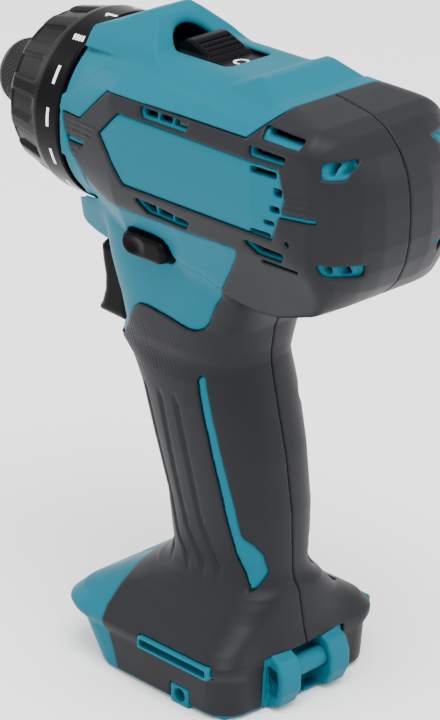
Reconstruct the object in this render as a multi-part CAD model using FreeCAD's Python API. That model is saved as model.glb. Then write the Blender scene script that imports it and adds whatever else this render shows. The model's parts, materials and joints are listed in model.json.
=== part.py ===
import FreeCAD, Part
import math
import os
from FreeCAD import Vector

# Compact cordless hex driver-drill, bare tool. Millimetres.
# X forward (nose), Y left, Z up. Underside of the foot at Z = 0, drill axis at Y = 0, Z = AXIS_Z.

os.makedirs("parts", exist_ok=True)

# ---- driving dimensions -------------------------------------------------------------------
AXIS_Z = 157.0
SKIN = 1.0                 # overmould thickness
WALL = 2.2                 # rigid shell thickness under the overmould
RUN = 0.05                 # radial running fit
GAP = 0.3                  # free gap between separate bodies

# head stations: x, half width, top, bottom, widest level, roundness (levels from the axis)
HEAD = [
    (31.6, 27.0, 27.0, -27.0, 0.0, 2.0),
    (22.0, 27.2, 27.2, -27.0, 0.0, 2.1),
    (8.0, 28.3, 26.0, -26.0, 0.0, 2.7),
    (-25.0, 28.5, 25.0, -26.5, 0.0, 3.0),
    (-42.0, 28.4, 23.2, -34.0, 0.0, 3.0),
    (-54.0, 27.6, 21.8, -33.0, -1.0, 2.8),
    (-62.0, 25.3, 19.0, -29.5, -2.0, 2.6),
    (-70.0, 19.0, 13.6, -23.0, -3.0, 2.4),
    (-75.0, 10.5, 6.6, -16.0, -4.0, 2.2),
    (-77.0, 3.0, -2.0, -8.0, -5.0, 2.0),
]
# handle stations: z, rear x, front x, half width, roundness
HANDLE = [
    (14.0, -34.0, 9.5, 14.5, 2.4),
    (38.0, -33.1, 9.1, 14.8, 2.4),
    (54.0, -32.8, 9.8, 16.5, 2.4),
    (71.0, -30.3, 14.9, 17.7, 2.4),
    (85.0, -27.0, 19.6, 18.4, 2.4),
    (99.0, -24.0, 24.5, 18.2, 2.4),
    (109.0, -25.5, 26.0, 18.6, 2.6),
    (120.0, -33.0, 27.0, 19.6, 2.8),
    (130.0, -43.0, 28.0, 20.4, 3.2),
    (141.0, -50.0, 28.5, 20.6, 3.4),
]
# foot levels: z, rear x, front x, half width, corner radius
FOOT = [
    (0.0, -36.5, 22.4, 29.2, 8.0),
    (12.5, -37.5, 29.8, 29.8, 8.0),
    (15.5, -38.0, 32.6, 32.4, 9.0),
    (17.5, -37.8, 33.6, 32.2, 10.0),
    (20.5, -36.6, 30.5, 29.0, 11.0),
    (30.0, -33.0, 12.0, 16.0, 12.0),
]
# humps on the top cover: x, base half width, crest half width, crest level
FRONT_HUMP = [(2.5, 15.0, 13.5, 24.6), (9.0, 16.0, 11.5, 30.0), (14.6, 16.5, 9.5, 34.0),
              (20.0, 16.5, 10.5, 32.2), (28.0, 15.5, 12.0, 26.4)]
REAR_HUMP = [(-41.0, 14.0, 12.5, 22.5), (-33.0, 15.0, 12.0, 27.2), (-25.0, 15.0, 13.0, 24.6)]

CHIN_SIDE = [(18.0, 141.0), (31.4, 141.0), (31.4, 129.6), (41.6, 129.6), (42.0, 128.4),
             (34.5, 119.8), (24.0, 119.2), (18.0, 114.0)]
CHIN_PLAN = [(17.0, 20.2), (31.0, 17.5), (41.0, 12.5), (42.5, 11.0)]

COVER_SIDE = [(-41.5, 210.0), (-41.5, 173.4), (10.0, 173.4), (24.0, 163.0), (31.6, 163.0), (31.6, 210.0)]
COLLAR_X = (24.0, 31.6)
COLLAR_R = 27.3
COLLAR_SIDE = [(40.0, 164.0), (29.6, 164.0), (29.6, 161.0), (27.6, 153.4), (24.0, 147.2), (24.0, 125.0),
               (40.0, 125.0)]
SLOT_X = (-15.5, 10.5)
SLOT_HALF = 8.2

# rigid-plastic areas seen through the overmould, as side outlines (x, z)
PANEL_WINDOW = [(13.9, 158.5), (6.2, 168.1), (-44.0, 167.7), (-53.2, 167.9), (-55.4, 159.3), (-51.1, 148.1),
                (4.9, 148.4)]
TRIGGER_WINDOW = [(24.0, 147.3), (22.3, 144.4), (15.0, 139.8), (3.0, 139.8), (-36.5, 137.5), (-30.2, 135.5),
                  (-23.5, 121.0),
                  (-19.0, 112.2), (-14.0, 109.6), (7.0, 111.0), (14.2, 100.0), (17.5, 97.5), (50.0, 97.5),
                  (50.0, 150.0)]
GRIP_STRIP = [(-12.1, 93.2), (-14.3, 94.6), (-16.4, 86.8), (-20.6, 71.1), (-24.3, 56.8), (-25.6, 48.6),
              (-29.4, 45.6), (-31.0, 37.8), (-29.0, 33.4), (-23.9, 43.8), (-20.1, 61.5), (-16.3, 77.0)]
FOOT_BEAK = [(17.0, 4.0), (16.6, 6.0), (11.6, 31.0), (11.6, 40.0), (60.0, 40.0)]   # half plan (x, half width)

# vents through the side band (x0, x1, z0, z1)
VENTS = [(-19.5, -2.5, 169.6, 171.4), (-55.0, -43.0, 169.3, 171.0), (-60.0, -48.0, 174.0, 176.0),
         (-71.5, -64.0, 167.0, 170.2), (-18.5, 0.0, 142.8, 145.0), (-54.0, -41.0, 142.6, 144.4),
         (-66.0, -54.0, 137.0, 139.6)]

HOOK_X, HOOK_Z = (-32.2, -4.1), (13.9, 17.6)
HOOK_LIP = 0.8
CLIP_X, CLIP_Z = -18.2, 3.1

LEVER = (1.3, 130.2)       # reversing bar centre (x, z)
LEVER_LENGTH, LEVER_HEIGHT = 17.8, 7.6

RING_X = (32.0, 56.3)
RING_R = (26.9, 22.6)
RING_POCKETS = 14
RING_PHASE = math.radians(-8.0)
SLEEVE_X = (57.6, 77.0)
SLEEVE_R = 9.9
HEX_AF = 6.45

# gear train
MODULE = 0.8
PRESSURE = math.radians(25.0)
ADDENDUM = 0.64
DEDENDUM = 0.85
BACKLASH = 0.06
RING_TEETH = 39
SUN_1, PLANET_1 = 9, 15
SUN_2, PLANET_2 = 15, 12
SUN_3, PLANET_3 = 21, 9


# ---- helpers ------------------------------------------------------------------------------
def cyl(x0, x1, r, y=0.0, z=AXIS_Z):
    return Part.makeCylinder(r, x1 - x0, Vector(x0, y, z), Vector(1, 0, 0))


def tube(x0, x1, r_out, r_in, y=0.0, z=AXIS_Z):
    return cyl(x0, x1, r_out, y, z).cut(cyl(x0 - 1, x1 + 1, r_in, y, z))


def cyl_y(x, z, r, y0, y1):
    return Part.makeCylinder(r, y1 - y0, Vector(x, y0, z), Vector(0, 1, 0))


def cyl_z(x, y, r, z0, z1):
    return Part.makeCylinder(r, z1 - z0, Vector(x, y, z0), Vector(0, 0, 1))


def box(x0, x1, y0, y1, z0, z1):
    return Part.makeBox(x1 - x0, y1 - y0, z1 - z0, Vector(x0, y0, z0))


def polygon(points):
    return Part.makePolygon(points + [points[0]])


def prism_y(side, y0, y1, grow=0.0):
    """Side outline (x, z) extruded along Y, optionally offset outward by grow."""
    wire = polygon([Vector(x, y0, z) for x, z in side])
    if grow:
        wire = wire.makeOffset2D(grow, 2)
    return Part.Face(wire).extrude(Vector(0, y1 - y0, 0))


def prism_z(plan, z0, z1):
    """Half plan (x, half width) mirrored and extruded along Z."""
    points = [Vector(x, w, z0) for x, w in plan]
    points += [Vector(x, -w, z0) for x, w in reversed(plan)]
    return Part.Face(polygon(points)).extrude(Vector(0, 0, z1 - z0))


def fuse(shapes):
    result = shapes[0].multiFuse(shapes[1:]) if len(shapes) > 1 else shapes[0]
    return result.removeSplitter()


def mirror_y(shape):
    return shape.mirror(Vector(0, 0, 0), Vector(0, 1, 0))


def spin(shape, angle):
    turned = shape.copy()
    turned.rotate(Vector(0, 0, AXIS_Z), Vector(1, 0, 0), math.degrees(angle))
    return turned


def around(shape, count, start=0.0):
    return [spin(shape, start + 2 * math.pi * i / count) for i in range(count)]


def capsule_y(x, z, length, height, y0, y1):
    """Bar along Y whose section is a slot lying along X."""
    r = height / 2
    reach = length / 2 - r
    return fuse([box(x - reach, x + reach, y0, y1, z - r, z + r),
                 cyl_y(x - reach, z, r, y0, y1),
                 cyl_y(x + reach, z, r, y0, y1)])


def pipe(points, r):
    """Round wire swept through the points."""
    curve = Part.BSplineCurve()
    curve.interpolate([Vector(*p) for p in points])
    path = Part.Wire(curve.toShape())
    start = curve.value(curve.FirstParameter)
    tangent = curve.tangent(curve.FirstParameter)[0]
    profile = Part.Wire(Part.makeCircle(r, start, tangent))
    return path.makePipeShell([profile], True, True)


def coil(x0, x1, mean_r, wire_r, turns):
    """Compression spring on the drill axis."""
    pitch = (x1 - x0 - 2 * wire_r) / turns
    helix = Part.makeHelix(pitch, pitch * turns, mean_r)
    helix.Placement = FreeCAD.Placement(Vector(x0 + wire_r, 0, AXIS_Z),
                                        FreeCAD.Rotation(Vector(0, 1, 0), 90))
    edge = helix.Edges[0]
    start = edge.valueAt(edge.FirstParameter)
    tangent = edge.tangentAt(edge.FirstParameter)
    profile = Part.Wire(Part.makeCircle(wire_r, start, tangent))
    return Part.Wire(helix.Edges).makePipeShell([profile], True, True)


def export(name, shape):
    shape.exportStep("parts/" + name + ".step")
    print(name, len(shape.Solids), round(shape.Volume, 1), shape.isValid())


# ---- outer form ---------------------------------------------------------------------------
def head_section(x, w, top, bottom, mid, n, inset):
    count = 28
    points = []
    for i in range(count):
        angle = 2 * math.pi * i / count
        c, s = math.cos(angle), math.sin(angle)
        reach = (top - mid if s >= 0 else mid - bottom) - inset
        y = (w - inset) * math.copysign(abs(c) ** (2 / n), c)
        z = mid + reach * math.copysign(abs(s) ** (2 / n), s)
        points.append(Vector(x, y, AXIS_Z + z))
    curve = Part.BSplineCurve()
    curve.interpolate(Points=points, PeriodicFlag=True)
    return Part.Wire(curve.toShape())


def head_solid(inset, front=HEAD[0][0]):
    """Head form shrunk by inset; the last station moves forward with it."""
    stations = [s for s in HEAD if min(s[1], (s[2] - s[3]) / 2) > inset + 1.5]
    wires = []
    for i, (x, w, top, bottom, mid, n) in enumerate(stations):
        shift = inset * max(0.0, (-60.0 - x) / 17.0) if x < -60.0 else 0.0
        wires.append(head_section(front if i == 0 else x + shift, w, top, bottom, mid, n, inset))
    return Part.makeLoft(wires, True, False)


def handle_solid(inset):
    wires = []
    count = 24
    for z, x0, x1, w, n in HANDLE:
        cx, a = (x0 + x1) / 2, (x1 - x0) / 2 - inset
        points = []
        for i in range(count):
            angle = 2 * math.pi * i / count
            c, s = math.cos(angle), math.sin(angle)
            points.append(Vector(cx + a * math.copysign(abs(c) ** (2 / n), c),
                                 (w - inset) * math.copysign(abs(s) ** (2 / n), s), z))
        curve = Part.BSplineCurve()
        curve.interpolate(Points=points, PeriodicFlag=True)
        wires.append(Part.Wire(curve.toShape()))
    return Part.makeLoft(wires, True, False)


def foot_section(z, x0, x1, w, r):
    face = box(x0, x1, -w, w, z, z + 1)
    uprights = [e for e in face.Edges if abs(e.Vertexes[0].Z - e.Vertexes[1].Z) > 0.5]
    solid = face.makeFillet(r, uprights)
    bottom = min(solid.Faces, key=lambda f: f.CenterOfMass.z)
    return bottom.OuterWire


def foot_solid(inset):
    wires = []
    for z, x0, x1, w, r in FOOT:
        level = z if z < 13 else z - inset
        wires.append(foot_section(level, x0 + inset, x1 - inset, w - inset, r - inset * 0.8))
    return Part.makeLoft(wires, True, True)


def chin_solid(inset):
    side = prism_y(CHIN_SIDE, -25.0, 25.0, -inset) if inset else prism_y(CHIN_SIDE, -25.0, 25.0)
    plan = prism_z([(x, w - inset) for x, w in CHIN_PLAN], 100.0, 150.0)
    return side.common(plan)


def form(inset):
    return fuse([head_solid(inset), handle_solid(inset), foot_solid(inset), chin_solid(inset)])


def hump(stations):
    wires = []
    for x, base, crest, level in stations:
        wires.append(polygon([Vector(x, base, AXIS_Z + 14), Vector(x, crest, AXIS_Z + level),
                              Vector(x, -crest, AXIS_Z + level), Vector(x, -base, AXIS_Z + 14)]))
    return Part.makeLoft(wires, True, True)


LEFT = box(-120, 120, 0, 60, -20, 240)
collar = cyl(COLLAR_X[0], COLLAR_X[1], COLLAR_R).common(prism_y(COLLAR_SIDE, -60, 60))
cover_region = prism_y(COVER_SIDE, -60, 60).fuse(collar)

outer = form(0.0).common(LEFT)
middle = form(SKIN).common(LEFT)
inner = form(SKIN + WALL).common(LEFT)

battery_bay = box(-29.0, 60.0, -24.5, 24.5, -5.0, 13.0)
trigger_mouth = box(15.0, 60.0, -9.2, 9.2, 93.4, 119.6)
lever_hole = capsule_y(*LEVER, LEVER_LENGTH + 0.7, LEVER_HEIGHT + 0.7, -40.0, 40.0)
lamp_hole = cyl(20.0, 60.0, 3.4, 0.0, 124.6)
hook_slot = box(HOOK_X[0] + HOOK_LIP, HOOK_X[1] - HOOK_LIP, 29.4, 60.0,
                HOOK_Z[0] + HOOK_LIP, HOOK_Z[1] - HOOK_LIP)
clip_hole = cyl_y(CLIP_X, CLIP_Z, 2.0, 24.0, 60.0)
strap_recess = box(-60.0, -33.4, -13.4, 13.4, 2.0, 26.0)
STRAP_BAR = (-38.0, 10.4, 3.0)

# ---- overmould and shell, left half ---------------------------------------------------------
windows = [prism_y(PANEL_WINDOW, 20, 40), prism_y(TRIGGER_WINDOW, -1, 40), prism_y(GRIP_STRIP, 4, 40),
           prism_z(FOOT_BEAK, -5.0, 29.0), box(HOOK_X[0], HOOK_X[1], 27.0, 40.0, HOOK_Z[0], HOOK_Z[1]),
           box(-21.9, -14.6, 24.0, 40.0, -1.0, 6.2), box(-60, -31.0, -1.0, 15.0, -1.0, 19.0),
           box(-60, 60, -1, 40, -1, 0.9)]
window = windows[0].multiFuse(windows[1:])
skin = outer.cut(middle).cut(cover_region)
overmold = skin.cut(window)

vents = [box(x0, x1, 15.0, 40.0, z0, z1) for x0, x1, z0, z1 in VENTS]
vents += [box(-50.6, -45.6, 24.0, 40.0, 150.2 + 3.6 * i, 152.4 + 3.6 * i) for i in range(4)]
openings = vents + [battery_bay, trigger_mouth, lever_hole, lamp_hole, hook_slot, strap_recess]
opening = openings[0].multiFuse(openings[1:])
overmold = overmold.cut(opening)

shell = middle.cut(inner).fuse(skin.common(window)).cut(cover_region)

# cradle ribs for the motor and the gear case, shelves in the handle
cradle_inner = form(SKIN + WALL - 0.2).common(LEFT)
ribs = []
for x in (-50.0, -34.0, -18.0):
    ribs.append(cradle_inner.common(box(x, x + 1.6, 0, 40, 139.5 - 12.0, 170.0)).cut(cyl(x - 1, x + 3, 18.2)))
for x in (-7.0, 16.0):
    ribs.append(cradle_inner.common(box(x, x + 1.6, 0, 40, 134.2, 166.0)).cut(cyl(x - 1, x + 3, 20.8)))
for z in (88.0, 123.2):
    shelf = cradle_inner.common(box(-40, 20, 0, 40, z, z + 1.6))
    ribs.append(shelf.cut(box(-15, 40, -1, 9.0, z - 1, z + 3)).cut(cyl_z(-26, 0, 9.0, z - 1, z + 3)))
ribs.append(cradle_inner.common(box(-34, 20, 0, 40, 34.0, 35.6)).cut(box(-20, 2, -1, 8.0, 30, 40)))

BOSSES = [(-60.0, 133.5), (-16.5, 131.5), (21.5, 127.6), (-20.8, 84.0), (-26.0, 50.0), (4.5, 60.0),
          (-27.5, 27.5)]
BOSS_R = 3.3
bosses = [middle.common(cyl_y(x, z, BOSS_R, 0.0, 40.0)) for x, z in BOSSES]

# foot: battery rails, hook rim, threaded boss, strap loops
rail = box(-27.0, 16.0, 22.0, 25.2, 2.4, 5.0)
bay_roof = box(-34.5, 27.0, 0.0, 27.5, 13.0, 15.0).common(middle)
hook_rim = box(HOOK_X[0], HOOK_X[1], 28.6, 32.8, HOOK_Z[0], HOOK_Z[1])
clip_boss = box(-21.9, -14.6, 25.0, 29.5, 0.2, 6.2)


def strap_loop():
    """D-shaped loop that carries one end of the strap bar."""
    side = [(-32.5, 16.0), (-38.0, 17.6), (-42.0, 15.4), (-43.2, 11.5), (-42.6, 5.5), (-40.0, 1.4),
            (-36.0, 0.0), (-32.5, 0.0)]
    loop = prism_y(side, 5.8, 13.4)
    hollow = [(-37.4, 13.0), (-39.6, 11.5), (-39.8, 6.0), (-37.6, 4.0)]
    return loop.cut(prism_y(hollow, 9.0, 14.0))


solids = [shell] + ribs + bosses + [rail, bay_roof, hook_rim, clip_boss, strap_loop()]
shell = solids[0].multiFuse(solids[1:])
bay_wall = box(-33.4, -32.4, 0.0, 6.0, 0.0, 17.0)
shell = shell.fuse(bay_wall)
shell = shell.cut(vents[0].multiFuse(vents[1:]))
for cutter in (trigger_mouth, lever_hole, lamp_hole, clip_hole, hook_slot, cover_region):
    shell = shell.cut(cutter)
shell = shell.cut(box(-29.0, 60.0, -1.0, 22.0, -5.0, 13.0))
shell = shell.cut(box(-60.0, -33.4, -1.0, 5.8, 1.6, 26.0).common(box(-60, 0, -1, 5.8, 1.6, 17.4)))
shell = shell.cut(cyl_y(STRAP_BAR[0], STRAP_BAR[1], STRAP_BAR[2] + RUN, -1.0, 12.0))
overmold = overmold.cut(strap_loop()).cut(hook_rim).cut(clip_boss).cut(bay_wall)

# clearances for the parts the shell carries
motor_room = cyl(-54.0, -9.6, 18.15)
bell_room = cyl(-64.0, -54.0, 17.0)
gear_room = cyl(-9.8, 31.0, 20.8)
flange_room = cyl(24.2, 31.7, 23.7)
switch_room = box(-14.2, 17.2, -10.8, 13.6, 92.8, 122.2)
terminal_room = fuse([box(-24.1, 9.2, -12.1, 12.1, 12.0, 24.0), box(-12.0, 8.0, -10.0, 10.0, 20.0, 40.0)])
lead_room = box(-66.0, -13.0, -13.0, 13.0, 110.0, 160.0).common(form(SKIN + WALL))
nut_room = box(CLIP_X - 2.7, CLIP_X + 2.7, 24.5, 27.1, CLIP_Z - 2.7, CLIP_Z + 2.7)
board_room = box(31.2, 33.3, -3.8, 3.8, 121.4, 128.0)
for room in (motor_room, bell_room, gear_room, flange_room, switch_room, terminal_room, lead_room, nut_room,
             board_room):
    shell = shell.cut(room)


def largest(shape):
    """Keep the real pieces of a boolean result, without slivers."""
    keep = [s for s in shape.Solids if s.Volume > 3.0]
    return keep[0] if len(keep) == 1 else Part.makeCompound(keep)


shell_right = mirror_y(shell)
screw_parts = []
for x, z in BOSSES:
    half = 15.0 if z < 110 else 17.0
    shell = shell.cut(cyl_y(x, z, 1.25, -1.0, 9.0))
    shell_right = shell_right.cut(cyl_y(x, z, 1.6, -40.0, 1.0)).cut(cyl_y(x, z, 2.9, -40.0, -half + 6.0))
    shank = cyl_y(x, z, 1.25, -half + 6.0, 8.5)
    head = cyl_y(x, z, 2.8, -half + 4.0, -half + 6.0).cut(cyl_y(x, z, 1.2, -half + 3.0, -half + 5.2))
    screw_parts.append(shank.fuse(head))
overmold_right = mirror_y(overmold)
for x, z in BOSSES:
    overmold_right = overmold_right.cut(cyl_y(x, z, 2.9, -40.0, 0.0))

export("housing_left", largest(shell))
export("housing_right", largest(shell_right))
export("overmold_left", largest(overmold))
export("overmold_right", largest(overmold_right))
export("housing_screws", Part.makeCompound(screw_parts))

# ---- top cover ------------------------------------------------------------------------------
cover = fuse([head_solid(0.0), hump(FRONT_HUMP), hump(REAR_HUMP)])
cover = cover.cut(head_solid(SKIN + WALL, 32.0)).common(cover_region)
cover = cover.cut(flange_room)
slot_cut = fuse([box(SLOT_X[0] + 5, SLOT_X[1] - 5, -SLOT_HALF, SLOT_HALF, 170, 200),
                 box(SLOT_X[0], SLOT_X[1], -SLOT_HALF + 5, SLOT_HALF - 5, 170, 200)]
                + [cyl_z(x, y, 5.0, 170, 200) for x in (SLOT_X[0] + 5, SLOT_X[1] - 5)
                   for y in (-SLOT_HALF + 5, SLOT_HALF - 5)])
cover = cover.cut(slot_cut)
cover = cover.cut(box(-24.0, 18.0, -10.6, 10.6, 170.0, 180.7))
export("top_cover", largest(cover))

# ---- strap bar, clip nuts, lamp ---------------------------------------------------------------
export("strap_bar", cyl_y(STRAP_BAR[0], STRAP_BAR[1], STRAP_BAR[2], -11.8, 11.8))
nuts = []
for side in (-1, 1):
    y0, y1 = sorted((side * 24.6, side * 27.0))
    nut = box(CLIP_X - 2.6, CLIP_X + 2.6, y0, y1, CLIP_Z - 2.6, CLIP_Z + 2.6)
    nuts.append(nut.cut(cyl_y(CLIP_X, CLIP_Z, 1.65, y0 - 1, y1 + 1)))
clip_nuts = Part.makeCompound(nuts)
export("clip_nuts", clip_nuts)
lens = cyl(33.2, 37.0, 3.2, 0.0, 124.6).fuse(
    Part.makeSphere(3.2, Vector(36.4, 0, 124.6)).common(cyl(36.4, 41.0, 3.2, 0.0, 124.6)))
export("lamp_lens", lens)
board = box(31.4, 33.0, -3.6, 3.6, 121.6, 127.8)
export("lamp_board", board)
export("lamp_leads", Part.makeCompound([
    pipe([(31.3, y, 123.0), (26.0, y, 122.6), (20.0, y, 121.4), (17.7, y, 118.0)], 0.55)
    for y in (-1.6, 1.6)]))

# ---- electrical -------------------------------------------------------------------------------
block = fuse([box(-24.0, 6.0, -12.0, 12.0, 15.2, 21.5), box(-22.0, -2.0, -10.5, 10.5, 6.0, 16.0)])
blades = []
for y in (-8.0, -2.8, 2.8, 8.0):
    blades.append(fuse([box(-3.0, 9.0, y - 0.4, y + 0.4, 8.0, 12.4),
                        box(-3.0, 0.0, y - 0.4, y + 0.4, 8.0, 23.5)]))
for blade in blades:
    block = block.cut(blade)
export("terminal_block", block)
export("terminal_blades", Part.makeCompound(blades))
switch = box(-14.0, 17.0, -10.5, 10.5, 93.0, 122.0)
switch = switch.makeFillet(1.2, [e for e in switch.Edges])
switch = switch.cut(cyl(3.2, 18.0, 4.3, 0.0, 108.0))
export("switch_body", switch)
fins = [box(-12.0, 8.0, 10.6, 12.0, 96.0, 119.0)]
fins += [box(-12.0 + 4 * i, -10.8 + 4 * i, 12.0, 13.4, 99.0, 116.0) for i in range(6)]
export("heat_sink", fuse(fins))
export("power_leads", Part.makeCompound([
    pipe([(-1.5, y, 23.6), (-4.0, 0.8 * y, 34.0), (-12.0, 0.5 * y, 56.0), (-6.0, 0.5 * y, 78.0),
          (-2.0, y, 92.3)],
         1.1) for y in (-8.0, 8.0)]))
export("motor_leads", Part.makeCompound([
    pipe([(-14.3, y, 113.0), (-20.5, y, 114.0), (-27.0, y, 121.0), (-40.0, y, 132.5), (-54.0, y, 135.8),
          (-61.0, 1.3 * y, 140.0), (-62.2, 1.7 * y, 146.5), (-58.6, 1.9 * y, 151.0)], 1.0)
    for y in (-5.0, 5.0)]))

# ---- trigger group ----------------------------------------------------------------------------
TRIGGER_SIDE = [(24.2, 119.0), (35.4, 119.0), (36.6, 115.0), (35.2, 108.5), (35.4, 102.0), (38.4, 96.6),
                (37.2, 94.6), (26.0, 94.0), (24.2, 96.0)]
trigger = prism_y(TRIGGER_SIDE, -8.6, 8.6)
front_edges = [e for e in trigger.Edges
               if abs(e.Vertexes[0].Y - e.Vertexes[1].Y) < 0.1 and min(v.X for v in e.Vertexes) > 34.0]
trigger = trigger.makeFillet(3.0, front_edges)
trigger = trigger.cut(box(20.0, 31.5, -7.0, 7.0, 96.5, 117.5)).fuse(cyl(27.0, 32.5, 4.0, 0.0, 108.0))
export("trigger", trigger)
export("switch_plunger", cyl(9.0, 27.0, 3.9, 0.0, 108.0).fuse(cyl(25.0, 27.0, 5.4, 0.0, 108.0)))
spring = coil(17.4, 24.8, 4.9, 0.35, 4)
spring.translate(Vector(0, 0, 108.0 - AXIS_Z))
export("trigger_spring", spring)
bar = fuse([capsule_y(*LEVER, LEVER_LENGTH, LEVER_HEIGHT, 14.0, 24.6),
            capsule_y(*LEVER, LEVER_LENGTH, LEVER_HEIGHT, -24.6, -14.0),
            box(-2.7, 5.3, -15.0, 15.0, 128.2, 132.2)])
export("reversing_bar", bar)

# ---- motor ------------------------------------------------------------------------------------
can = cyl(-54.0, -12.0, 18.0).cut(cyl(-55.0, -13.4, 16.4)).cut(cyl(-14.0, -11.0, 6.1))
export("motor_can", can)
magnet = tube(-46.0, -22.0, 16.3, 12.4)
export("motor_magnets", Part.makeCompound([
    magnet.common(box(-50, 0, y0, y1, 100, 200)) for y0, y1 in ((5.0, 30.0), (-30.0, -5.0))]))
bell = fuse([tube(-57.0, -54.0, 16.6, 6.2), tube(-62.4, -57.0, 7.4, 6.2), tube(-62.4, -61.2, 7.4, 2.2)])
export("motor_end_bell", bell)
export("motor_brushes", Part.makeCompound([
    box(-52.5, -48.0, y0, y1, AXIS_Z - 1.8, AXIS_Z + 1.8) for y0, y1 in ((5.1, 11.0), (-11.0, -5.1))]))
export("motor_bearings", Part.makeCompound([
    tube(-61.0, -57.2, 6.1, 1.585 + RUN), tube(-15.6, -11.0, 6.0, 1.585 + RUN)]))
export("motor_shaft", cyl(-60.8, -2.8, 1.585))
lamination = cyl(-45.0, -22.0, 11.9)
for notch in around(box(-46, -21, -0.9, 0.9, AXIS_Z + 6.0, AXIS_Z + 13.0), 5):
    lamination = lamination.cut(notch)
pole_slot = box(-46, -21, -2.6, 2.6, AXIS_Z + 5.0, AXIS_Z + 10.4)
for notch in around(pole_slot, 5):
    lamination = lamination.cut(notch)
winding = tube(-46.6, -20.6, 10.0, 3.4).cut(tube(-45.0, -22.0, 12.5, 5.6))
armature = fuse([lamination, winding]).cut(cyl(-47, -20, 1.585))
export("armature", armature)
commutator = tube(-53.0, -47.4, 4.8, 1.585)
for notch in around(box(-54, -47.0, -0.2, 0.2, AXIS_Z + 4.2, AXIS_Z + 5.0), 5, math.pi / 5):
    commutator = commutator.cut(notch)
export("commutator", commutator)
hub = tube(-20.2, -16.4, 4.0, 1.585).fuse(tube(-20.2, -19.2, 14.5, 3.0))
vanes = around(box(-19.3, -16.4, -0.5, 0.5, AXIS_Z + 5.0, AXIS_Z + 14.2), 9)
export("motor_fan", fuse([hub] + vanes))


# ---- gears --------------------------------------------------------------------------------------
def involute(angle):
    return math.tan(angle) - angle


def gear_wire(x, teeth, phase, tip, root, widen):
    """Gear outline in the plane x; widen adds to the tooth thickness at the pitch line."""
    pitch_r = MODULE * teeth / 2
    base_r = pitch_r * math.cos(PRESSURE)
    thickness = math.pi * MODULE / 2 + widen
    radii = [root, max(root + 0.05, base_r), (max(base_r, root) + pitch_r) / 2, pitch_r,
             (pitch_r + tip) / 2, tip]
    radii = sorted(set(radii))
    halves = []
    for r in radii:
        at = math.acos(min(1.0, base_r / max(r, base_r)))
        halves.append(thickness / (2 * pitch_r) + involute(PRESSURE) - involute(at))
    points = []
    for i in range(teeth):
        centre = phase + 2 * math.pi * i / teeth
        flank = list(zip(radii, halves))
        for r, half in flank:
            points.append((r, centre - half))
        for r, half in reversed(flank):
            points.append((r, centre + half))
    return polygon([Vector(x, r * math.cos(a), AXIS_Z + r * math.sin(a)) for r, a in points])


def gear(x0, x1, teeth, phase, widen=-BACKLASH):
    pitch_r = MODULE * teeth / 2
    wire = gear_wire(x0, teeth, phase, pitch_r + ADDENDUM, pitch_r - DEDENDUM, widen)
    return Part.Face(wire).extrude(Vector(x1 - x0, 0, 0))


def ring_gear(x0, x1, r_out, phase):
    """Internal gear; phase is the centre of one inward tooth."""
    pitch_r = MODULE * RING_TEETH / 2
    hole = gear_wire(x0, RING_TEETH, phase + math.pi / RING_TEETH, pitch_r + DEDENDUM, pitch_r - ADDENDUM,
                     BACKLASH)
    space = Part.Face(hole).extrude(Vector(x1 - x0, 0, 0))
    return cyl(x0, x1, r_out).cut(space)


def planet_phase(sun_teeth, sun_phase, teeth, place):
    """Tooth phase of a planet at polar angle place that meshes with its sun."""
    sun_at = (place - sun_phase) * sun_teeth / (2 * math.pi)
    return place + math.pi - (0.5 - sun_at) * 2 * math.pi / teeth


def ring_phase(teeth, phase, place):
    """Inward-tooth phase of the ring that meshes with the planet at place."""
    planet_at = (place - phase) * teeth / (2 * math.pi)
    return place - (0.5 + planet_at) * 2 * math.pi / RING_TEETH


def planet_gears(x0, x1, sun_teeth, teeth, bore):
    centre = MODULE * (sun_teeth + teeth) / 2
    result = []
    for i in range(3):
        place = math.pi / 2 + 2 * math.pi * i / 3
        wheel = gear(x0, x1, teeth, planet_phase(sun_teeth, math.pi / 2, teeth, place))
        wheel = wheel.cut(cyl(x0 - 1, x1 + 1, bore))
        wheel.translate(Vector(0, centre * math.cos(place), centre * math.sin(place)))
        result.append(wheel)
    phase = ring_phase(teeth, planet_phase(sun_teeth, math.pi / 2, teeth, math.pi / 2), math.pi / 2)
    return result, phase


def carrier_pins(x0, x1, centre, r):
    return [cyl(x0, x1, r, centre * math.cos(a), AXIS_Z + centre * math.sin(a))
            for a in (math.pi / 2, math.pi / 2 + 2 * math.pi / 3, math.pi / 2 + 4 * math.pi / 3)]


planets_1, ring_1_phase = planet_gears(-8.6, -2.9, SUN_1, PLANET_1, 2.0 + RUN)
planets_2, ring_2_phase = planet_gears(1.5, 8.0, SUN_2, PLANET_2, 1.8 + RUN)
planets_3, ring_3_phase = planet_gears(14.0, 20.2, SUN_3, PLANET_3, 1.5 + RUN)
CENTRE_1 = MODULE * (SUN_1 + PLANET_1) / 2
CENTRE_2 = MODULE * (SUN_2 + PLANET_2) / 2
CENTRE_3 = MODULE * (SUN_3 + PLANET_3) / 2

pinion = gear(-9.2, -2.6, SUN_1, math.pi / 2).cut(cyl(-10, -2, 1.585))
export("pinion", pinion)
for letter, wheel in zip("abc", planets_1):
    export("planet_1" + letter, wheel)
for letter, wheel in zip("abc", planets_3):
    export("planet_3" + letter, wheel)
export("planets_2", Part.makeCompound(planets_2))

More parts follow.
